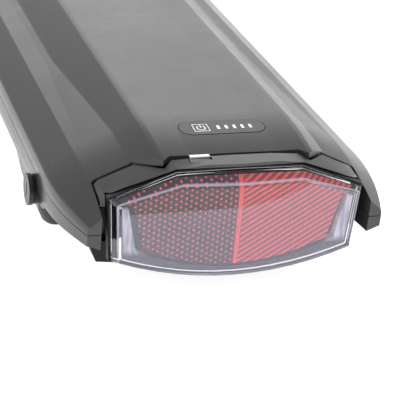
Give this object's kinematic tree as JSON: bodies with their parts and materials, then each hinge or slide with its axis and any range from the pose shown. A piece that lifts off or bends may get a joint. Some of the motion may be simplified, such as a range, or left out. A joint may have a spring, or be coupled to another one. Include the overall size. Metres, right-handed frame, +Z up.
{
  "type": "e-bike carrier battery pack",
  "caption": "Long low battery pack for an e-bike rear carrier, with ribbed sloping roof, status panel, side lock and a built-in tail lamp with red reflector.",
  "frame": {"origin": "centre of the flat underside of the deep part of the case", "axes": "+Z up, -Y towards the tail lamp, +Y towards the discharge contacts, +X right seen from the tail"},
  "size_m": [0.1443, 0.372, 0.0622],
  "materials": {
    "case_plastic": "satin dark grey moulded plastic",
    "black_plastic": "black moulded plastic",
    "rubber": "soft black rubber",
    "clear_lens": "clear polycarbonate with a faint cool tint",
    "red_reflector": "red prismatic reflector",
    "frosted_guide": "frosted clear light guide",
    "circuit_board": "green circuit board with parts",
    "steel": "zinc plated steel",
    "bright_metal": "bright metal",
    "panel_plastic": "dark printed panel",
    "button_plastic": "dark button with a pale power mark",
    "lock_grey": "grey lock head",
    "brass": "plated contact",
    "fuse_plastic": "coloured fuse body",
    "red_insulation": "red silicone insulation",
    "black_insulation": "black insulation",
    "cell_wrap": "cell cans in blue shrink wrap with nickel plates",
    "spacer_board": "pale insulating board"
  },
  "bodies": {
    "case": {"upper_shell": "case_plastic", "lower_shell": "case_plastic", "light_hood": "case_plastic", "nose_cover": "black_plastic", "tail_cover": "black_plastic", "shell_gasket": "rubber", "light_housing": "black_plastic", "light_lens": "clear_lens", "light_seal": "rubber", "light_reflector": "red_reflector", "light_guide": "frosted_guide", "light_board": "circuit_board", "light_screw_left": "steel", "light_screw_right": "steel", "status_panel": "panel_plastic", "status_light_pipe": "frosted_guide", "status_board": "circuit_board", "lock_barrel": "black_plastic", "charge_socket": "black_plastic", "charge_pin": "brass", "charge_cover_anchor": "rubber", "discharge_connector": "black_plastic", "discharge_contact_positive": "brass", "discharge_contact_negative": "brass", "management_board": "circuit_board", "board_heat_plate": "bright_metal", "fuse_holder": "black_plastic", "main_fuse": "fuse_plastic", "positive_wire": "red_insulation", "charge_cable": "red_insulation", "negative_wire": "black_insulation", "light_cable": "black_insulation", "status_cable": "black_insulation", "case_screw_right_1": "steel", "case_screw_left_1": "steel", "case_screw_right_2": "steel", "case_screw_left_2": "steel", "case_screw_right_3": "steel", "case_screw_left_3": "steel", "cell_group_01": "cell_wrap", "cell_group_02": "cell_wrap", "cell_group_03": "cell_wrap", "cell_group_04": "cell_wrap", "cell_group_05": "cell_wrap", "cell_group_06": "cell_wrap", "cell_group_07": "cell_wrap", "cell_group_08": "cell_wrap", "cell_group_09": "cell_wrap", "cell_group_10": "cell_wrap", "cell_spacer_1": "spacer_board", "cell_spacer_2": "spacer_board", "cell_spacer_3": "spacer_board", "cell_spacer_4": "spacer_board"},
    "power_button": {"power_button": "button_plastic"},
    "latch_tab": {"latch_tab": "bright_metal"},
    "lock_plug": {"lock_plug": "lock_grey"},
    "lock_bolt": {"lock_bolt": "steel"},
    "charge_cover": {"charge_cover": "rubber"}
  },
  "joints": [
    {"name": "power_button_press", "type": "slide", "parent": "case", "child": "power_button", "axis": [0, 0.0762, -0.9971], "range_m": [0, 0.0006], "stiffness_N_per_m": 900},
    {"name": "latch_tab_press", "type": "slide", "parent": "case", "child": "latch_tab", "axis": [0, 0, -1], "range_m": [0, 0.0014], "stiffness_N_per_m": 900},
    {"name": "lock_turn", "type": "hinge", "parent": "case", "child": "lock_plug", "pos_m": [-0.0732, -0.125, 0.0245], "axis": [1, 0, 0], "range_deg": [0, 90]},
    {"name": "lock_bolt_slide", "type": "slide", "parent": "case", "child": "lock_bolt", "axis": [0, 0, 1], "range_m": [0, 0.0065]},
    {"name": "charge_cover_swing", "type": "hinge", "parent": "case", "child": "charge_cover", "pos_m": [0.0705, -0.1184, 0.027], "axis": [0, 0, 1], "range_deg": [0, 110]}
  ],
  "couplings": [
    {"joint": "lock_turn", "follows": "lock_bolt_slide", "rad_per_m": 241.66}
  ]
}
